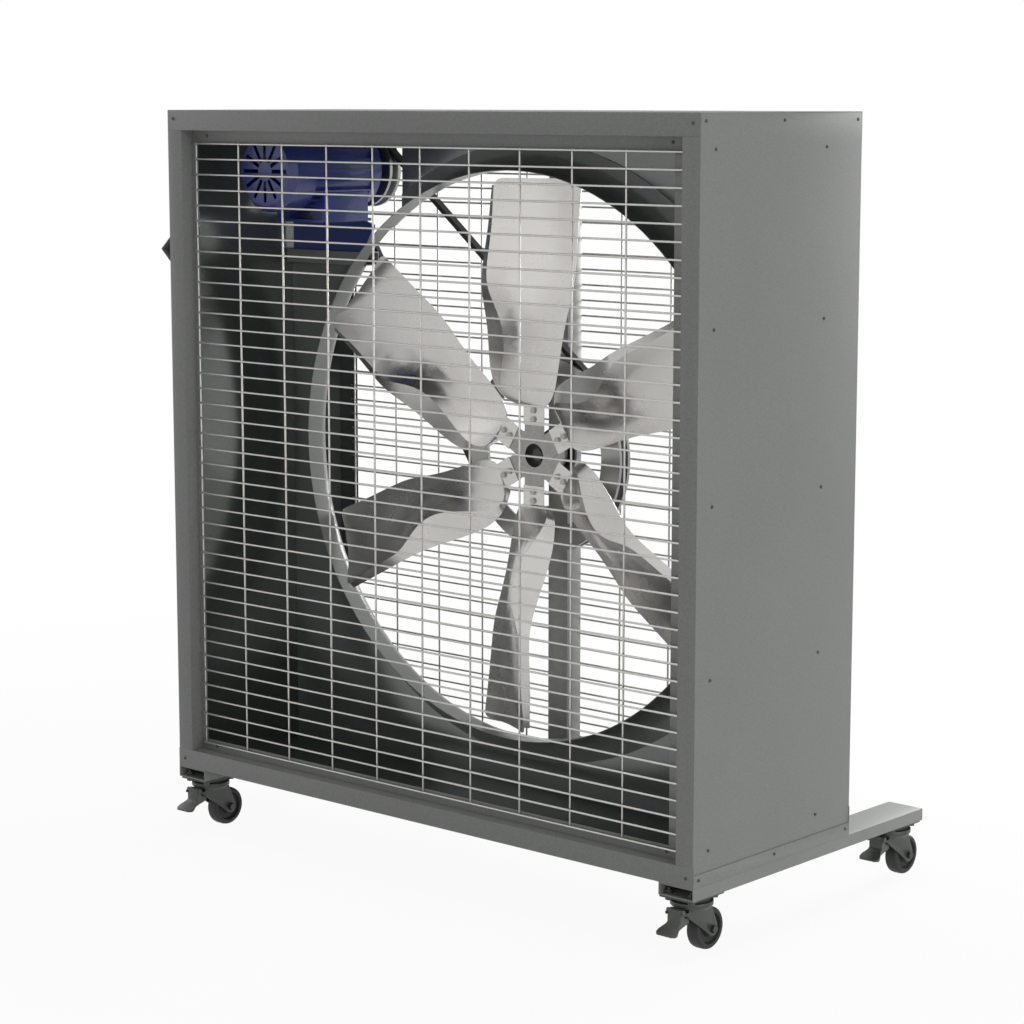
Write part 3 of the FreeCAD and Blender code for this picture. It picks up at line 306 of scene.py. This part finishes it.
@dataclass(frozen=True, kw_only=True)
class SheetWithPaintedShadeInside(Finish):
    """Powder-coated steel sheet, with painted shade on the faces inside the housing: a darker, glossier and
    more metallic finish there stands in for the shade in the box.

    The inside is a box between half_width_mm either way, depth_mm and height_mm from the housing's place.
    """

    # Painted shade: the inner colour, roughness and metal share darken and gloss the faces inside the
    # housing.
    inside: str
    shaded_inside_roughness: float
    shaded_inside_metallic: float
    half_width_mm: float = 687.8
    depth_mm: tuple[float, float] = (31.6, 489.3)
    height_mm: tuple[float, float] = (0.7, 1379.3)

    def painted_shade_zone(self, tree: bpy.types.NodeTree, place: bpy.types.NodeSocket) -> bpy.types.NodeSocket:
        """Return 1 on the faces inside the housing, where the shade is painted, and 0 on the rest.

        Args:
            tree: The material's node tree.
            place: Object coordinates.

        Returns:
            A value socket.
        """
        split = add_node(tree, "ShaderNodeSeparateXYZ", {"Vector": place})
        low = (-self.half_width_mm, self.depth_mm[0], self.height_mm[0])
        high = (self.half_width_mm, self.depth_mm[1], self.height_mm[1])
        inside = None
        for axis in range(3):
            for operation, edge in (("GREATER_THAN", low), ("LESS_THAN", high)):
                test = add_node(
                    tree, "ShaderNodeMath",
                    {0: split.outputs[axis], 1: edge[axis] * MM + HOUSING_PLACE[axis]},
                    operation=operation,
                ).outputs[0]
                inside = test if inside is None else add_node(
                    tree, "ShaderNodeMath", {0: inside, 1: test}, operation="MULTIPLY"
                ).outputs[0]
        return inside

    def ground(self, tree: bpy.types.NodeTree, place: bpy.types.NodeSocket) -> Colour:
        """Return the outer colour, or on the faces inside the housing the darker inner colour that paints
        their shade.

        Args:
            tree: The material's node tree.
            place: Object coordinates.

        Returns:
            A colour socket.
        """
        return add_node(
            tree, "ShaderNodeMix",
            {
                MIX_SHARE: self.painted_shade_zone(tree, place),
                MIX_COLOUR_A: linear(self.colour), MIX_COLOUR_B: linear(self.inside),
            },
            data_type="RGBA",
        ).outputs[MIX_COLOUR]

    def metal(self, tree: bpy.types.NodeTree, place: bpy.types.NodeSocket) -> float | bpy.types.NodeSocket:
        """Return no metal on the outer coat, and inside the housing the metal share of the painted shade.

        Args:
            tree: The material's node tree.
            place: Object coordinates.

        Returns:
            A value socket.
        """
        return add_node(
            tree, "ShaderNodeMath", {0: self.painted_shade_zone(tree, place), 1: self.shaded_inside_metallic},
            operation="MULTIPLY",
        ).outputs[0]

    def gloss(
        self, tree: bpy.types.NodeTree, place: bpy.types.NodeSocket, grain: bpy.types.NodeSocket
    ) -> bpy.types.NodeSocket:
        """Return the roughness of the outer coat, or inside the housing the smoother one of the painted
        shade.

        Args:
            tree: The material's node tree.
            place: Object coordinates.
            grain: The fine pattern of the finish.

        Returns:
            A value socket.
        """
        outer = super().gloss(tree, place, grain)
        return add_node(
            tree, "ShaderNodeMix",
            {
                MIX_SHARE: self.painted_shade_zone(tree, place),
                MIX_FLOAT_A: outer, MIX_FLOAT_B: self.shaded_inside_roughness,
            },
            data_type="FLOAT",
        ).outputs[MIX_FLOAT]


@dataclass(frozen=True)
class Spangled(Finish):
    """Zinc-dipped sheet, whose crystals show as faint flat flakes."""

    def grain(self, tree: bpy.types.NodeTree, place: bpy.types.NodeSocket) -> bpy.types.NodeSocket:
        """Return a pattern of crystals, each of one tone.

        Args:
            tree: The material's node tree.
            place: Object coordinates.

        Returns:
            A value socket.
        """
        cells = add_node(
            tree, "ShaderNodeTexVoronoi",
            {"Vector": place, "Scale": 1 / (self.grain_mm * MM)}, feature="F1",
        ).outputs["Color"]
        return add_node(tree, "ShaderNodeSeparateColor", {"Color": cells}).outputs["Red"]


# Textured polyester powder coat on steel sheet: satin mid grey, with a fine pebble that breaks up highlights;
# inside the housing a darker, glossier and more metallic finish is painted shade.
HOUSING_PAINT = SheetWithPaintedShadeInside(
    "powder_coated_steel_sheet_shaded_inside", Slot.SHEET, "#7f817f", 0.50,
    grain_mm=3.0, grain_tone=0.16, drift_tone=0.03, relief_mm=0.12, relief=0.25,
    # Painted shade for the faces inside the housing, darker and glossier than the coat outside.
    inside="#6f7371", shaded_inside_roughness=0.17, shaded_inside_metallic=0.7,
)
# The same coat on the tube rails and the motor's beam, a little lighter.
RAIL_PAINT = Finish(
    "powder_coated_steel_tube", Slot.SHEET, "#858784", 0.46,
    grain_mm=3.2, grain_tone=0.06, relief_mm=0.12, relief=0.22,
)
# Thinly coated zinc sheet of the bulkhead, smooth enough to catch soft reflections.
VENTURI_ZINC = Finish(
    "thinly_coated_zinc_sheet", Slot.VENTURI, "#7e8280", 0.22, metallic=0.47,
    grain_mm=5.0, grain_tone=0.05, gloss_change=0.03, relief_mm=0.03, relief=0.06,
)
# Spun steel ring with the same grey coat as the housing, smoother for the drawing.
BELL_PAINT = Finish(
    "enamelled_spun_steel", Slot.VENTURI, "#848785", 0.30,
    grain_mm=5.0, grain_tone=0.04, relief_mm=0.05, relief=0.10,
)
# Zinc-plated drawn wire: pale, slightly warm metal with short dull and bright lengths.
WIRE_ZINC = Finish(
    "zinc_plated_drawn_wire", Slot.WIRE, "#c4c2bf", 0.38, metallic=0.8,
    grain_mm=9.0, grain_tone=0.10, relief_mm=0.05, relief=0.10,
)
# Bright-rolled stainless blade sheet: a clear, slightly warm mirror with a faint wave from the press.
BLADE_STEEL = Finish(
    "bright_rolled_stainless_sheet", Slot.BLADE, "#c8c6c3", 0.27, metallic=1.0,
    grain_mm=60.0, grain_tone=0.02, drift_tone=0.02, gloss_change=0.02, relief_mm=0.2, relief=0.04,
)
# Pressed and plated hub plate, a little greyer than the blades.
HUB_ZINC = Spangled(
    "zinc_plated_hub_plate", Slot.HUB, "#959491", 0.30, metallic=0.9,
    grain_mm=9.0, grain_tone=0.05, gloss_change=0.05, relief_mm=0.02, relief=0.08,
)
# Turned cast iron pulley: a bright grey metal, sandy where the casting skin is left on.
PULLEY_IRON = Finish(
    "turned_cast_iron", Slot.HUB, "#a3a4a2", 0.36, metallic=0.85,
    grain_mm=2.2, grain_tone=0.08, relief_mm=0.15, relief=0.25,
)
# Bright zinc-plated steel of the motor's turned shaft.
BRIGHT_STEEL = Finish(
    "bright_zinc_plated_steel", Slot.STEEL, "#b4b4b1", 0.28, metallic=1.0,
    grain_mm=1.6, grain_tone=0.06, relief_mm=0.03, relief=0.10,
)
# Zinc-plated bolts through the blades, a shade duller than the sheet.
BOLT_ZINC = Finish(
    "dull_zinc_plated_bolt_steel", Slot.STEEL, "#a9a8a5", 0.34, metallic=0.9,
    grain_mm=1.6, grain_tone=0.06, relief_mm=0.03, relief=0.12,
)
# Blackened steel of screws, axles and bearings, with a dull sheen; on the bearings deep in the hub's bore the
# darkness is partly oily steel and partly painted shade.
SCREW_BLACK = Finish(
    "blackened_screw_steel", Slot.STEEL, "#4a4c4a", 0.38, metallic=0.7,
    grain_mm=1.6, grain_tone=0.08, relief_mm=0.03, relief=0.15,
)
# Moulded V-belt rubber: black, matt, with a dusty fabric cover.
BELT_RUBBER = Finish(
    "moulded_belt_rubber", Slot.BELT, "#1d1e1f", 0.62,
    grain_mm=1.5, grain_tone=0.15, relief_mm=0.2, relief=0.4,
)
# Blue machinery enamel over castings: glossy with a soft orange-peel ripple.
MOTOR_ENAMEL = Finish(
    "blue_machinery_enamel", Slot.MOTOR, "#333f86", 0.30,
    grain_mm=4.0, grain_tone=0.08, relief_mm=0.2, relief=0.2, coat=0.3,
)
# Pre-galvanised channel of the post: pale grey zinc, dulled by handling.
POST_ZINC = Spangled(
    "galvanised_channel_steel", Slot.SHEET, "#a4a6a3", 0.40, metallic=0.3,
    grain_mm=14.0, grain_tone=0.05, gloss_change=0.06, relief_mm=0.02, relief=0.08,
)
# Dark electro-coated pressed steel of the caster forks.
CASTER_STEEL = Finish(
    "electro_coated_pressed_steel", Slot.CASTER, "#414441", 0.42, metallic=0.2,
    grain_mm=2.5, grain_tone=0.08, relief_mm=0.06, relief=0.15,
)
# Moulded polypropylene tread and rim, matt with mould grain and floor dust.
WHEEL_PLASTIC = Finish(
    "moulded_polypropylene", Slot.WHEEL, "#1d1f1d", 0.62,
    grain_mm=1.8, grain_tone=0.12, drift_mm=40.0, drift_tone=0.15, relief_mm=0.15, relief=0.3,
)
# Moulded nylon brake pedal, a little paler and worn smooth on top.
PEDAL_PLASTIC = Finish(
    "moulded_nylon", Slot.PEDAL, "#4b4e4b", 0.42,
    grain_mm=1.8, grain_tone=0.10, drift_mm=30.0, drift_tone=0.12, relief_mm=0.12, relief=0.25,
)


@dataclass(frozen=True)
class EdgeForm:
    """How a merged copy of a CAD mesh is smoothed and its edges rounded."""

    smooth_degrees: float = 32.0
    flat_degrees: float = 0.5
    round_mm: float = 0.0


SPUN = EdgeForm()
FOLDED = EdgeForm(round_mm=0.5)
MOULDED = EdgeForm(round_mm=0.9)


def round_edges(bm: bmesh.types.BMesh, edges: list[bmesh.types.BMEdge], round_mm: float) -> None:
    """Round off some edges of a shape.

    Args:
        bm: The shape.
        edges: The edges to round.
        round_mm: How far the round reaches into each face.
    """
    bmesh.ops.bevel(
        bm, geom=edges, offset=round_mm * MM, offset_type="OFFSET", affect="EDGES",
        segments=2, profile=0.5, material=-1, clamp_overlap=True,
    )


def shade_smooth(bm: bmesh.types.BMesh, degrees: float) -> None:
    """Shade a shape smooth, except across its sharper edges.

    Args:
        bm: The shape.
        degrees: The angle between faces from which an edge stays sharp.
    """
    for face in bm.faces:
        face.smooth = True
    for edge in bm.edges:
        edge.smooth = edge.calc_face_angle(0.0) <= math.radians(degrees)


def keep_piece(bm: bmesh.types.BMesh, name: str, finish: Finish, node: str) -> bpy.types.Object:
    """Turn a bmesh into a finished piece that rides on the body of the CAD node it stands for.

    Args:
        bm: The shape, in the shared frame; it is freed.
        name: The piece's name.
        finish: The piece's finish.
        node: The CAD node it stands for.

    Returns:
        The new object.
    """
    mesh = bpy.data.meshes.new(name)
    bm.to_mesh(mesh)
    bm.free()
    piece = bpy.data.objects.new(name, mesh)
    bpy.context.scene.collection.objects.link(piece)
    mesh.materials.append(finish.material())
    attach(piece, NODE_BODY[node])
    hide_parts(node)
    log.info("%s: %d faces, %s", name, len(mesh.polygons), finish.name)
    return piece


def smooth_copy(node: str, finish: Finish, form: EdgeForm = SPUN) -> bpy.types.Object:
    """Stand a smooth copy of a CAD node in for it.

    Args:
        node: The CAD node.
        finish: The copy's finish.
        form: How its edges are smoothed and rounded.

    Returns:
        The new object.
    """
    bm = bmesh.new()
    bm.from_mesh(frame["nodes"][node].data)
    bmesh.ops.remove_doubles(bm, verts=bm.verts, dist=MERGE_M)
    if form.round_mm:
        bmesh.ops.dissolve_limit(
            bm, angle_limit=math.radians(form.flat_degrees), verts=bm.verts, edges=bm.edges,
            use_dissolve_boundaries=False,
        )
        limit = math.radians(form.smooth_degrees)
        sharp = [edge for edge in bm.edges if edge.calc_face_angle(0.0) > limit]
        round_edges(bm, sharp, form.round_mm)
    shade_smooth(bm, form.smooth_degrees)
    return keep_piece(bm, node + "_formed", finish, node)


@dataclass
class PanHeads:
    """Domed screw heads with a driver's recess, one on each plain head of a CAD node.

    A head's section goes from the recess, over its rim, to the dome's top, shoulder and skirt.
    """

    node: str
    radius_mm: float = 3.3
    high_mm: float = 2.0
    recess_mm: float = 1.1
    recess_floor_mm: float = 0.77
    recess_depth_mm: float = 0.9
    rim_drop_mm: float = 0.1
    top_mm: float = 1.98
    shoulder_mm: tuple[float, float] = (2.5, 1.6)
    skirt_mm: float = 0.7
    steps: int = 24

    def head(self) -> bpy.types.Mesh:
        """Turn one head about Z, with its seat at the origin.

        Returns:
            The head's mesh.
        """
        floor = self.high_mm - self.recess_depth_mm
        profile = [
            (0.0, floor), (self.recess_floor_mm, floor),
            (self.recess_mm, self.high_mm - self.rim_drop_mm),
            (self.top_mm, self.high_mm), self.shoulder_mm,
            (self.radius_mm, self.skirt_mm), (self.radius_mm, 0.0), (0.0, 0.0),
        ]
        bm = bmesh.new()
        points = [bm.verts.new((across * MM, 0.0, up * MM)) for across, up in profile]
        edges = [bm.edges.new(pair) for pair in zip(points, points[1:])]
        bmesh.ops.spin(
            bm, geom=points + edges, cent=(0.0, 0.0, 0.0), axis=(0.0, 0.0, 1.0), dvec=(0.0, 0.0, 0.0),
            angle=math.tau, steps=self.steps, use_merge=True, use_duplicate=False,
        )
        bmesh.ops.remove_doubles(bm, verts=bm.verts, dist=MERGE_M)
        bmesh.ops.recalc_face_normals(bm, faces=bm.faces)
        mesh = bpy.data.meshes.new(self.node + "_head")
        bm.to_mesh(mesh)
        bm.free()
        return mesh

    def seats(self) -> list[tuple[Vector, Vector]]:
        """Find where each plain head sits and which way it faces.

        Returns:
            The middle of each seat, and the way out of the sheet there.
        """
        bm = bmesh.new()
        bm.from_mesh(frame["nodes"][self.node].data)
        bmesh.ops.remove_doubles(bm, verts=bm.verts, dist=MERGE_M)
        middle = (CAD_BOX[0] + CAD_BOX[1]) / 2
        left = set(bm.verts)
        found = []
        while left:
            reached = [left.pop()]
            for vert in reached:
                near = {edge.other_vert(vert) for edge in vert.link_edges} & left
                left -= near
                reached.extend(near)
            low, high = (Vector(pick(v.co[i] for v in reached) for i in range(3)) for pick in (min, max))
            thin = min(range(3), key=lambda i: high[i] - low[i])
            out = Vector((0.0, 0.0, 0.0))
            out[thin] = math.copysign(1.0, (low + high)[thin] / 2 - middle[thin])
            found.append(((low + high) / 2 - out * self.high_mm * MM / 2, out))
        bm.free()
        return sorted(found, key=lambda seat: tuple(seat[0]))

    def build(self) -> bpy.types.Object:
        """Set a head on every seat.

        Returns:
            The heads, as one piece.
        """
        head = self.head()
        bm = bmesh.new()
        for seat, out in self.seats():
            before = len(bm.verts)
            bm.from_mesh(head)
            bm.verts.ensure_lookup_table()
            turn = out.to_track_quat("Z", "Y").to_matrix().to_4x4()
            bmesh.ops.transform(bm, matrix=Matrix.Translation(seat) @ turn, verts=bm.verts[before:])
        shade_smooth(bm, SPUN.smooth_degrees)
        return keep_piece(bm, self.node + "_pan_heads", SCREW_BLACK, self.node)


@dataclass
class Housing:
    """Four folded sheets, the cover strip on the left, the rails and the sheet screws."""

    sheets: tuple[str, ...] = (
        "top_panel", "bottom_panel", "left_side_panel", "right_side_panel", "cable_cover",
    )
    rails: tuple[str, ...] = ("left_rail", "right_rail")

    def build(self) -> None:
        """Form the sheets and rails, and set the screws."""
        for node in self.sheets:
            smooth_copy(node, HOUSING_PAINT, FOLDED)
        for node in self.rails:
            smooth_copy(node, RAIL_PAINT, FOLDED)
        PanHeads("housing_screws").build()


@dataclass
class WireGrille:
    """One welded grille of crossed round wires, in millimetres from the housing's place.

    The last upright on the right stands last_shift_mm past its pitch, and the crosswires reach it.
    """

    node: str
    upright_depth_mm: float
    cross_depth_mm: float
    wide_mm: float
    tall_mm: float
    middle_mm: tuple[float, float] = (-3.5, 683.35)
    wire_mm: float = 4.0
    uprights: int = 11
    upright_pitch_mm: float = 126.15
    crosswires: int = 41
    cross_pitch_mm: float = 31.43
    sides: int = 12
    end_mm: float = 0.7
    last_shift_mm: float = 0.0

    def wire(self, bm: bmesh.types.BMesh, start: Vector, end: Vector) -> None:
        """Add one round wire with softened ends.

        Args:
            bm: The grille's shape.
            start: One end of its middle line, in millimetres.
            end: The other end.
        """
        run = (end - start) * MM
        turn = run.to_track_quat("Z", "Y").to_matrix().to_4x4()
        middle = Matrix.Translation((start + end) * MM / 2 + HOUSING_PLACE)
        made = bmesh.ops.create_cone(
            bm, cap_ends=True, segments=self.sides, radius1=self.wire_mm * MM / 2,
            radius2=self.wire_mm * MM / 2, depth=run.length, matrix=middle @ turn,
        )
        touched = dict.fromkeys(edge for vert in made["verts"] for edge in vert.link_edges)
        rims = [edge for edge in touched if edge.calc_length() < self.wire_mm * MM]
        round_edges(bm, rims, self.end_mm)

    def build(self) -> bpy.types.Object:
        """Weld the wires into one grille.

        Returns:
            The grille.
        """
        bm = bmesh.new()
        across, up = self.middle_mm
        for i in range(self.uprights):
            x = across + (i - (self.uprights - 1) / 2) * self.upright_pitch_mm
            if i == self.uprights - 1:
                x += self.last_shift_mm
            y = self.upright_depth_mm
            self.wire(bm, Vector((x, y, up - self.tall_mm / 2)), Vector((x, y, up + self.tall_mm / 2)))
        for i in range(self.crosswires):
            z = up + (i - (self.crosswires - 1) / 2) * self.cross_pitch_mm
            y = self.cross_depth_mm
            left = Vector((across - self.wide_mm / 2, y, z))
            self.wire(bm, left, left + Vector((self.wide_mm + self.last_shift_mm, 0.0, 0.0)))
        # The flat end of a wire has as many corners as the wire has sides, and every other face has four.
        for face in bm.faces:
            face.smooth = len(face.verts) < self.sides
        return keep_piece(bm, self.node + "_wires", WIRE_ZINC, self.node)


@dataclass
class AirPath:
    """The bulkhead, its bell mouth and the post that carries the propeller."""

    def build(self) -> None:
        """Form and dress the three sheets."""
        smooth_copy("venturi_panel", VENTURI_ZINC, FOLDED)
        smooth_copy("bell_mouth", BELL_PAINT)
        smooth_copy("support_post", POST_ZINC, FOLDED)


@dataclass
class Propeller:
    """Six pressed blades on a hub spider, with the driven pulley behind it."""

    blades: int = 6

    def build(self) -> None:
        """Form the blades, the hub and the pulley."""
        for number in range(1, self.blades + 1):
            smooth_copy(f"blade_{number}", BLADE_STEEL)
        smooth_copy("hub_spider", HUB_ZINC)
        smooth_copy("blade_bolts", BOLT_ZINC)
        smooth_copy("hub_barrel", HUB_ZINC)
        # The bearings' dark finish is partly their oily steel and partly painted shade for the ring deep in
        # the bore.
        smooth_copy("hub_bearings", SCREW_BLACK)
        smooth_copy("fan_axle", SCREW_BLACK)
        smooth_copy("driven_pulley", PULLEY_IRON)


@dataclass
class BeltDrive:
    """The motor on its beam, its pulley and the belt."""

    castings: tuple[str, ...] = (
        "motor_housing", "motor_fan_cowl", "motor_end_shield", "motor_terminal_box", "motor_base",
    )

    def build(self) -> None:
        """Form and dress the motor, the beam, the pulley and the belt."""
        for node in self.castings:
            smooth_copy(node, MOTOR_ENAMEL)
        smooth_copy("motor_beam", RAIL_PAINT, FOLDED)
        smooth_copy("motor_shaft", BRIGHT_STEEL)
        smooth_copy("motor_pulley", PULLEY_IRON)
        smooth_copy("v_belt", BELT_RUBBER)


@dataclass
class CasterSet:
    """Four swivel casters with brake pedals."""

    corners: tuple[Corner, ...] = tuple(Corner)

    def build(self) -> None:
        """Form and dress every caster."""
        smooth_copy("caster_plates", CASTER_STEEL, FOLDED)
        smooth_copy("caster_bolts", SCREW_BLACK)
        for corner in self.corners:
            smooth_copy(f"caster_fork_{corner.value}", CASTER_STEEL, FOLDED)
            smooth_copy(f"caster_axle_{corner.value}", SCREW_BLACK)
            smooth_copy(f"caster_wheel_{corner.value}", WHEEL_PLASTIC, MOULDED)
            smooth_copy(f"brake_pedal_{corner.value}", PEDAL_PLASTIC, MOULDED)


@dataclass(frozen=True)
class Lamp:
    """A square soft lamp that faces the middle of the fan."""

    name: str
    place: tuple[float, float, float]
    size_m: float
    power_w: float


@dataclass
class Studio:
    """A white floor, soft lamps and the camera.

    Near the fan, out to near_m, a small share of the floor's own shading shows; past far_m it is white.
    """

    floor_half_m: float = 14.0
    white_share: float = 0.93
    near_m: float = 1.2
    far_m: float = 3.0
    camera_place: tuple[float, float, float] = (3.5425, -4.07385, 1.54466)
    camera_tilt: float = 81.201
    camera_turn: float = 41.497
    lens_mm: float = 94.32
    sensor_mm: float = 36.0
    ambient: float = 0.24
    lamps: tuple[Lamp, ...] = (
        Lamp("key_lamp", (7.0, -0.8, 0.8), 4.5, 215.0),
        Lamp("front_lamp", (2.4, -5.8, 0.3), 5.0, 26.0),
        Lamp("top_lamp", (0.3, -0.3, 5.0), 3.0, 66.0),
        Lamp("rear_lamp", (0.3, 3.2, 1.5), 1.2, 90.0),
        Lamp("left_lamp", (-7.0, -0.2, 1.2), 4.5, 90.0),
    )

    def floor(self) -> None:
        """Lay the floor, white to the eye and still shaded by the fan."""
        bm = bmesh.new()
        bmesh.ops.create_grid(bm, x_segments=1, y_segments=1, size=self.floor_half_m)
        mesh = bpy.data.meshes.new("floor")
        bm.to_mesh(mesh)
        bm.free()
        plane = bpy.data.objects.new("floor", mesh)
        bpy.context.scene.collection.objects.link(plane)
        paper = bpy.data.materials.new("white_paper_roll")
        paper.use_nodes = True
        tree = paper.node_tree
        matt = add_node(tree, "ShaderNodeBsdfDiffuse", {"Color": linear("#f4f4f4")})
        glow = add_node(tree, "ShaderNodeEmission", {"Color": linear("#ffffff"), "Strength": 1.0})
        place = add_node(tree, "ShaderNodeTexCoord").outputs["Object"]
        away = add_node(tree, "ShaderNodeVectorMath", {0: place}, operation="LENGTH").outputs["Value"]
        glowing = add_node(
            tree, "ShaderNodeMapRange",
            {
                "Value": away, "From Min": self.near_m, "From Max": self.far_m,
                "To Min": self.white_share, "To Max": 1.0,
            },
        ).outputs["Result"]
        share = add_node(
            tree, "ShaderNodeMath", {0: self.seen(tree), 1: glowing}, operation="MULTIPLY"
        ).outputs[0]
        mixed = add_node(
            tree, "ShaderNodeMixShader", {0: share, 1: matt.outputs[0], 2: glow.outputs[0]}
        )
        tree.links.new(mixed.outputs[0], tree.nodes["Material Output"].inputs["Surface"])
        mesh.materials.append(paper)

    def seen(self, tree: bpy.types.NodeTree) -> bpy.types.NodeSocket:
        """Return 1 for rays from the camera, mirrors and glass, and 0 for the rest.

        Args:
            tree: The node tree.

        Returns:
            A value socket.
        """
        path = add_node(tree, "ShaderNodeLightPath")
        mirrored = add_node(
            tree, "ShaderNodeMath",
            {0: path.outputs["Is Camera Ray"], 1: path.outputs["Is Glossy Ray"]},
            operation="MAXIMUM",
        ).outputs[0]
        return add_node(
            tree, "ShaderNodeMath", {0: mirrored, 1: path.outputs["Is Transmission Ray"]},
            operation="MAXIMUM",
        ).outputs[0]

    def sky(self) -> None:
        """Set a white background and a plain ambient light."""
        world = bpy.data.worlds.new("studio")
        world.use_nodes = True
        bpy.context.scene.world = world
        tree = world.node_tree
        strength = add_node(
            tree, "ShaderNodeMapRange",
            {"Value": self.seen(tree), "To Min": self.ambient, "To Max": 1.0},
        ).outputs["Result"]
        tree.links.new(strength, tree.nodes["Background"].inputs["Strength"])
        tree.nodes["Background"].inputs["Color"].default_value = linear("#ffffff")

    def light(self) -> None:
        """Hang the soft lamps, each turned to the middle of the fan."""
        middle = (CAD_BOX[0] + CAD_BOX[1]) / 2
        for lamp in self.lamps:
            light = bpy.data.lights.new(lamp.name, "AREA")
            light.size = lamp.size_m
            light.energy = lamp.power_w
            hung = bpy.data.objects.new(lamp.name, light)
            hung.location = lamp.place
            hung.rotation_euler = (middle - Vector(lamp.place)).to_track_quat("-Z", "Y").to_euler()
            bpy.context.scene.collection.objects.link(hung)

    def camera(self) -> None:
        """Place the camera."""
        lens = bpy.data.cameras.new("camera")
        lens.lens = self.lens_mm
        lens.sensor_width = self.sensor_mm
        eye = bpy.data.objects.new("camera", lens)
        eye.location = self.camera_place
        eye.rotation_euler = (math.radians(self.camera_tilt), 0.0, math.radians(self.camera_turn))
        bpy.context.scene.collection.objects.link(eye)
        bpy.context.scene.camera = eye

    def build(self) -> None:
        """Set the stage, the light and the camera."""
        bpy.context.scene.view_settings.view_transform = "Standard"
        self.floor()
        self.sky()
        self.light()
        self.camera()


def main() -> None:
    """Build the fan's sub-assemblies in order, then the studio."""
    logging.basicConfig(level=logging.INFO, format="%(message)s")
    Housing().build()
    WireGrille(
        "front_grille", upright_depth_mm=29.0, cross_depth_mm=25.0,
        wide_mm=1267.5, tall_mm=1263.2, last_shift_mm=7.0,
    ).build()
    WireGrille(
        "rear_grille", upright_depth_mm=482.5, cross_depth_mm=486.5, wide_mm=1289.0, tall_mm=1292.7,
    ).build()
    AirPath().build()
    Propeller().build()
    BeltDrive().build()
    CasterSet().build()
    Studio().build()


if __name__ == "__main__":
    main()
